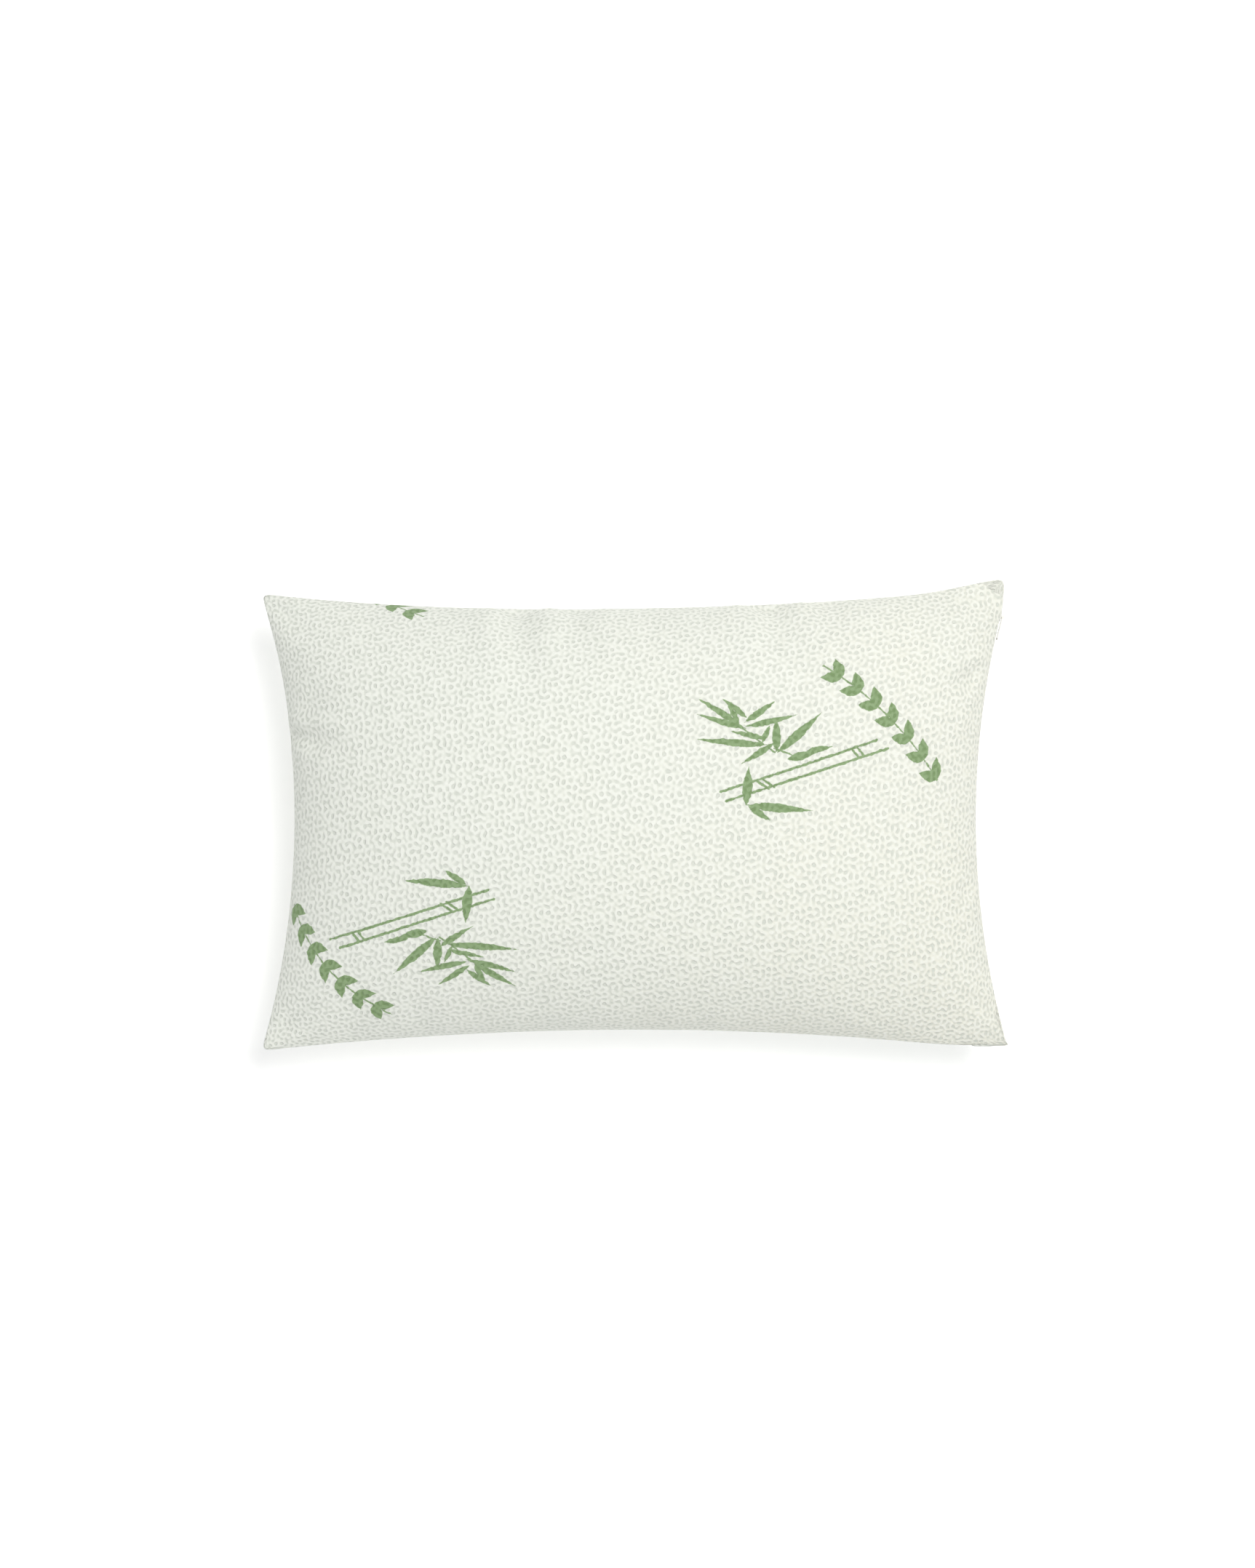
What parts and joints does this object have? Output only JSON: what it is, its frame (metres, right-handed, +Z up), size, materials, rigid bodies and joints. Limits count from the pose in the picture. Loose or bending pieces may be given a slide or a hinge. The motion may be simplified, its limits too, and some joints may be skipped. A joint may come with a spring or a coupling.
{
  "type": "bed pillow",
  "caption": "Rectangular bed pillow: zipped knit cover with pulled-in sides over a sewn liner of shredded foam, lying on its back panel.",
  "frame": {"origin": "on the surface the pillow rests on, under the middle of the pillow", "axes": "+X along the long side towards the zipped short side, +Y across the short side, +Z up through the front panel"},
  "size_m": [0.694, 0.434, 0.172],
  "materials": {
    "cover_knit": "matte",
    "thread": "satin",
    "zipper_tape": "matte",
    "zipper_coil": "satin",
    "zipper_metal": "satin",
    "label": "satin",
    "liner": "matte",
    "foam": "matte"
  },
  "bodies": {
    "pillow": {"cover_front_panel": "cover_knit", "cover_back_panel": "cover_knit", "cover_overlock_thread": "thread", "zipper_tape_front": "zipper_tape", "zipper_tape_back": "zipper_tape", "zipper_coil_front": "zipper_coil", "zipper_coil_back": "zipper_coil", "zipper_stitching_front": "thread", "zipper_stitching_back": "thread", "zipper_closed_end_tack": "thread", "zipper_open_end_tack": "thread", "cover_care_label": "label", "liner_front_panel": "liner", "liner_back_panel": "liner", "liner_overlock_thread": "thread", "liner_law_label": "label", "foam_fill": "foam"},
    "slider": {"slider_body": "zipper_metal"},
    "pull": {"pull_tab": "zipper_metal"}
  },
  "joints": [
    {"name": "zipper_slide", "type": "hinge", "parent": "pillow", "child": "slider", "pos_m": [1.091, 0, 0.072], "axis": [0, 0, 1], "range_deg": [0, 28]},
    {"name": "pull_swing", "type": "hinge", "parent": "slider", "child": "pull", "pos_m": [0.34062, 0.18709, 0.072], "axis": [0, 0, 1], "range_deg": [0, 170]}
  ]
}
